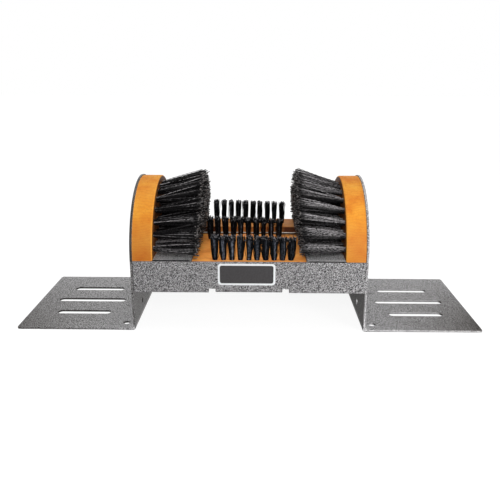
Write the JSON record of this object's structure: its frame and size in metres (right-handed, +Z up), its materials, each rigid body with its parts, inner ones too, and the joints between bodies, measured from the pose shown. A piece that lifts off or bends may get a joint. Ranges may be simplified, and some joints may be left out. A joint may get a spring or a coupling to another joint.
{
  "type": "boot scraper",
  "caption": "Free-standing boot scraper: a bent steel frame on slotted feet, with half-round side brushes facing each other and a base brush between them.",
  "frame": {"origin": "on the floor, in the middle of the footprint", "axes": "+X to the right along the two feet, -Y to the front, where the label is, +Z up"},
  "size_m": [0.4988, 0.1531, 0.1596],
  "materials": {
    "hammertone_steel": "grey hammertone powder coat",
    "painted_wood": "thin orange paint with the grain showing",
    "strip_steel": "bare rolled steel",
    "bristle": "black synthetic filament",
    "zinc_fastener": "zinc plate",
    "label_film": "charcoal label film with a white border, blank"
  },
  "bodies": {
    "root": {"left_side_bracket": "hammertone_steel", "right_side_bracket": "hammertone_steel", "front_panel": "hammertone_steel", "rear_panel": "hammertone_steel", "base_tray": "hammertone_steel", "front_left_weld": "hammertone_steel", "front_right_weld": "hammertone_steel", "rear_left_weld": "hammertone_steel", "rear_right_weld": "hammertone_steel", "left_brush_block": "painted_wood", "right_brush_block": "painted_wood", "front_base_board": "painted_wood", "rear_base_board": "painted_wood", "scraper_strip": "strip_steel", "left_side_bristles": "bristle", "right_side_bristles": "bristle", "front_base_bristles": "bristle", "rear_base_bristles": "bristle", "left_block_screw_1": "zinc_fastener", "left_block_screw_2": "zinc_fastener", "left_block_screw_3": "zinc_fastener", "left_block_screw_4": "zinc_fastener", "right_block_screw_1": "zinc_fastener", "right_block_screw_2": "zinc_fastener", "right_block_screw_3": "zinc_fastener", "right_block_screw_4": "zinc_fastener", "base_screw_1": "zinc_fastener", "base_screw_2": "zinc_fastener", "base_screw_3": "zinc_fastener", "base_screw_4": "zinc_fastener", "base_screw_5": "zinc_fastener", "base_screw_6": "zinc_fastener", "left_tray_bolt_1": "zinc_fastener", "left_tray_bolt_2": "zinc_fastener", "right_tray_bolt_1": "zinc_fastener", "right_tray_bolt_2": "zinc_fastener", "left_tray_nut_1": "zinc_fastener", "left_tray_nut_2": "zinc_fastener", "right_tray_nut_1": "zinc_fastener", "right_tray_nut_2": "zinc_fastener", "label_plate": "label_film"}
  },
  "joints": []
}
